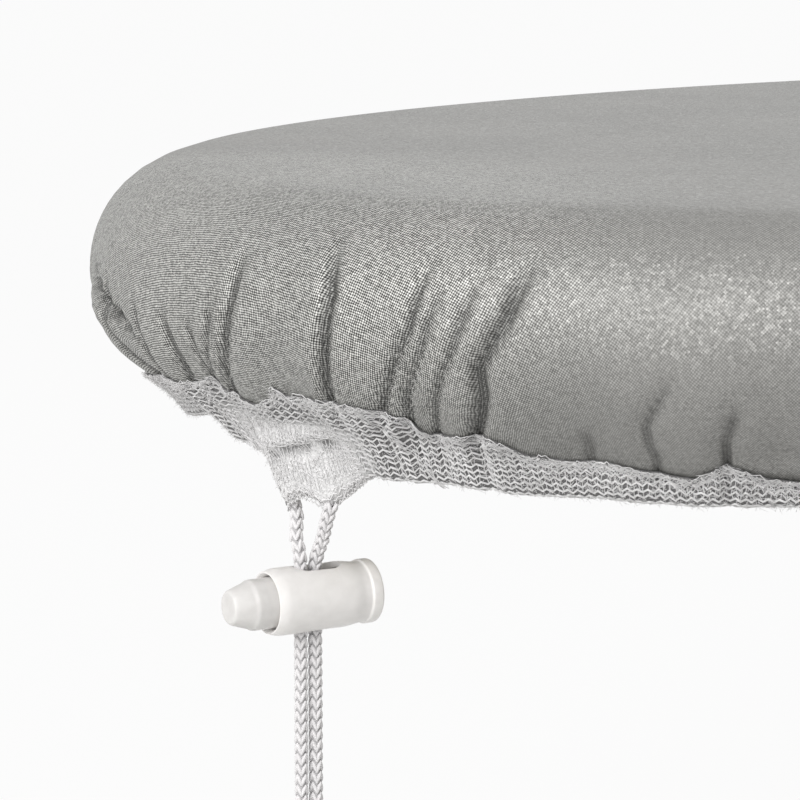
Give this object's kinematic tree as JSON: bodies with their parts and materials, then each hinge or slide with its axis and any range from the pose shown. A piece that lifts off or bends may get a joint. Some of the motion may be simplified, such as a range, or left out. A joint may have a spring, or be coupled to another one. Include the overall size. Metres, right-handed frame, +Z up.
{
  "type": "ironing board cover",
  "caption": "Fitted ironing board cover of silvery metallised cotton over a foam pad, drawn in at the hem by a cord in a knit tape, with a sprung cord lock at the nose.",
  "frame": {"origin": "on the pad's flat underside, at the middle of the cover's length and width, where the board's top meets it", "axes": "+X from the nose to the tail, +Z up, +Y to the right when looking from the tail to the nose"},
  "size_m": [1.22, 0.4, 0.2354],
  "materials": {
    "metallised_cotton": "satin",
    "foam": "matte",
    "knit_tape": "matte",
    "braided_cord": "matte",
    "lock_plastic": "satin",
    "spring_steel": "satin"
  },
  "bodies": {
    "cover": {"cover_fabric": "metallised_cotton", "foam_pad": "foam", "binding_tape": "knit_tape", "drawstring": "braided_cord", "cord_tail_left": "braided_cord", "cord_tail_right": "braided_cord", "end_knot": "braided_cord"},
    "lock": {"lock_barrel": "lock_plastic", "lock_spring": "spring_steel"},
    "plunger": {"lock_plunger": "lock_plastic"}
  },
  "joints": [
    {"name": "lock_slide", "type": "slide", "parent": "cover", "child": "lock", "axis": [0, 0, -1], "range_m": [0, 0.12]},
    {"name": "plunger_press", "type": "slide", "parent": "lock", "child": "plunger", "axis": [0.9848, -0.1736, 0], "range_m": [0, 0.0031], "stiffness_N_per_m": 1200, "springref_m": -0.003, "deforming": ["lock_spring"]}
  ]
}
